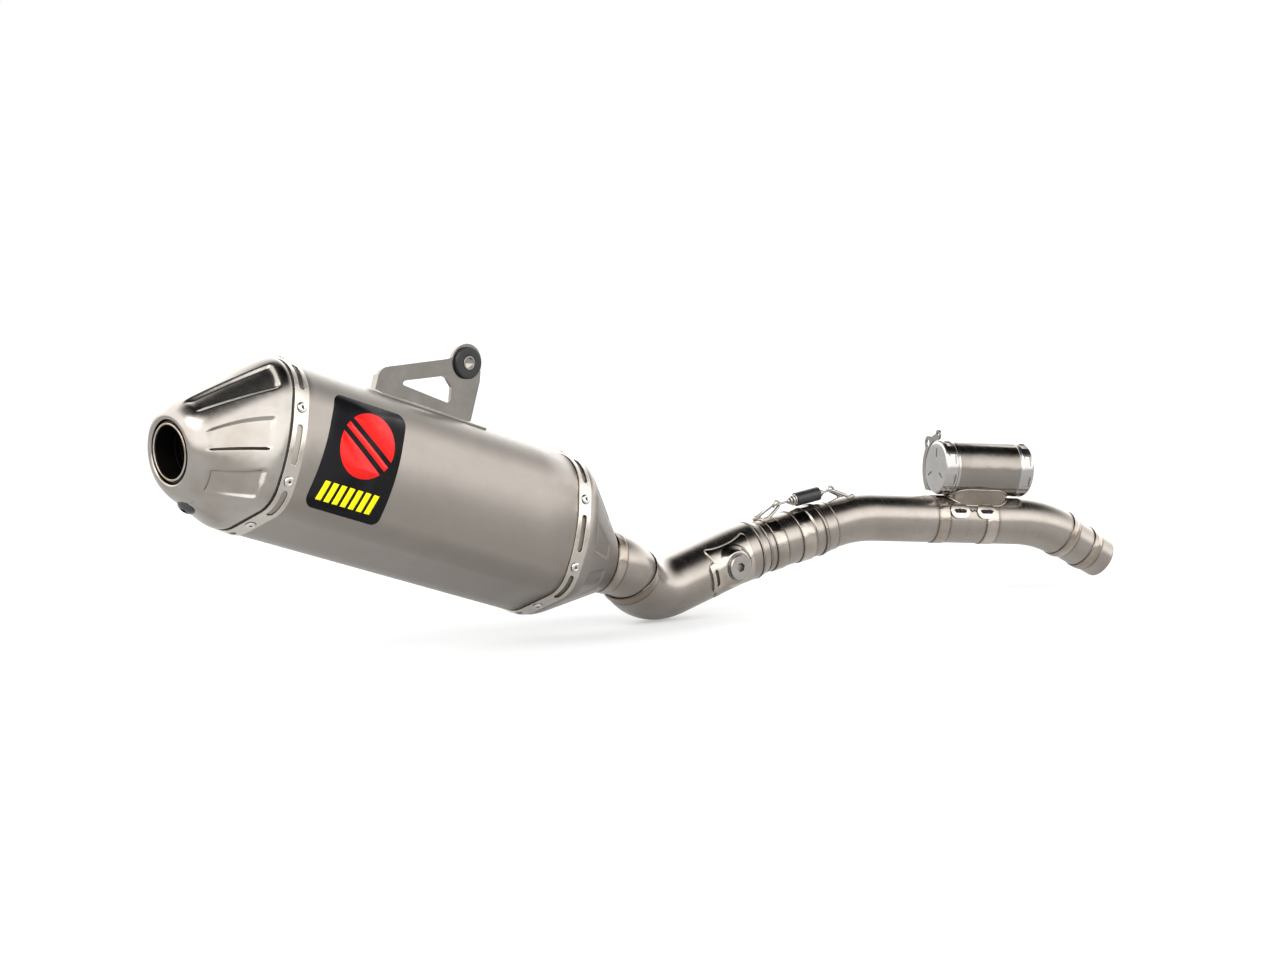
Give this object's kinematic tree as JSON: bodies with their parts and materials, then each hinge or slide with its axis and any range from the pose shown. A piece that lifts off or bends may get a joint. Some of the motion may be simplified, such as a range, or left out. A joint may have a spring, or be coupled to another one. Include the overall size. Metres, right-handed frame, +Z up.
{
  "type": "motorcycle exhaust muffler",
  "caption": "Oval slip-on motorcycle muffler with hanger and conical outlet, a link pipe, and a sprung slip joint to a header with a resonance chamber.",
  "frame": {"origin": "centre of the hanger bush's bore, where the muffler bolts to the motorcycle", "axes": "+X ahead towards the engine, +Y to the motorcycle's left (along the hanger bore), +Z up; the muffler hangs at its angle on the motorcycle"},
  "size_m": [0.941, 0.1954, 0.2391],
  "materials": {
    "sleeve_titanium": "satin, fine brushed, warm grey",
    "cap_metal": "brushed and bead blasted",
    "band_metal": "polished, tinted at the welds",
    "pipe_titanium": "satin, brown heat tint beside welds",
    "chamber_cap_metal": "machined, polished",
    "fastener_steel": "bright",
    "bracket_titanium": "satin",
    "inner_steel": "dull",
    "insert_steel": "turned",
    "rubber_black": "matt",
    "gasket_black": "matt",
    "silicone_black": "satin",
    "badge_black": "gloss foil with red and yellow shapes",
    "screw_black": "black oxide",
    "wool_cream": "fibrous",
    "spring_steel": "drawn wire"
  },
  "bodies": {
    "muffler": {"outer_sleeve": "sleeve_titanium", "rear_cap": "cap_metal", "front_cap": "cap_metal", "rear_seam_gasket": "gasket_black", "front_seam_gasket": "gasket_black", "rear_clamp_band": "band_metal", "front_clamp_band": "band_metal", "rear_rivets": "fastener_steel", "front_rivets": "fastener_steel", "outlet_tube": "inner_steel", "perforated_core": "inner_steel", "inlet_tube": "inner_steel", "glass_wool": "wool_cream", "hanger_bracket": "bracket_titanium", "hanger_foot": "bracket_titanium", "hanger_grommet": "rubber_black", "hanger_bush": "fastener_steel", "side_badge": "badge_black", "insert_screw_boss": "fastener_steel", "inlet_collar": "band_metal", "elbow_tube": "pipe_titanium", "elbow_collar": "band_metal", "link_pipe": "pipe_titanium", "boss_saddle": "band_metal", "sensor_boss": "pipe_titanium", "link_reducer": "pipe_titanium", "slip_sleeve": "pipe_titanium", "hook_band": "band_metal", "mouth_band": "band_metal", "rear_spring_loop": "spring_steel"},
    "header": {"front_spring_loop": "spring_steel", "header_spigot": "band_metal", "spigot_collar": "band_metal", "header_tube": "pipe_titanium", "header_rear_band": "band_metal", "header_front_band": "band_metal", "upper_port_ring": "band_metal", "port_middle_tube": "pipe_titanium", "lower_port_ring": "band_metal", "port_tube": "pipe_titanium", "chamber_neck": "pipe_titanium", "chamber_weld_pads": "band_metal", "chamber_shell": "pipe_titanium", "chamber_rear_cap": "chamber_cap_metal", "chamber_front_cap": "chamber_cap_metal", "chamber_lug_plate": "chamber_cap_metal"},
    "spring": {"joint_spring": "spring_steel", "spring_sleeve": "silicone_black"},
    "insert": {"insert_tube": "insert_steel", "insert_cone": "inner_steel"},
    "insert_screw": {"insert_screw": "screw_black"},
    "sensor_plug": {"sensor_plug": "fastener_steel", "plug_washer": "fastener_steel"}
  },
  "joints": [
    {"name": "header_turn", "type": "hinge", "parent": "muffler", "child": "header", "pos_m": [0.36296, 0.00361, -0.16418], "axis": [0.947, -0.2387, 0.2149], "range_deg": [-4, 4]},
    {"name": "spring_swing", "type": "hinge", "parent": "header", "child": "spring", "pos_m": [0.40651, -0.00737, -0.12399], "axis": [0.2445, 0.9697, 0], "range_deg": [0, 70]},
    {"name": "insert_slide", "type": "slide", "parent": "muffler", "child": "insert", "axis": [-0.9986, 0, -0.0523], "range_m": [0, 0.06]},
    {"name": "insert_screw_out", "type": "slide", "parent": "muffler", "child": "insert_screw", "axis": [-0.6439, 0, -0.7651], "range_m": [0, 0.024]},
    {"name": "sensor_plug_out", "type": "slide", "parent": "muffler", "child": "sensor_plug", "axis": [-0.0587, -0.9981, -0.017], "range_m": [0, 0.012]}
  ]
}
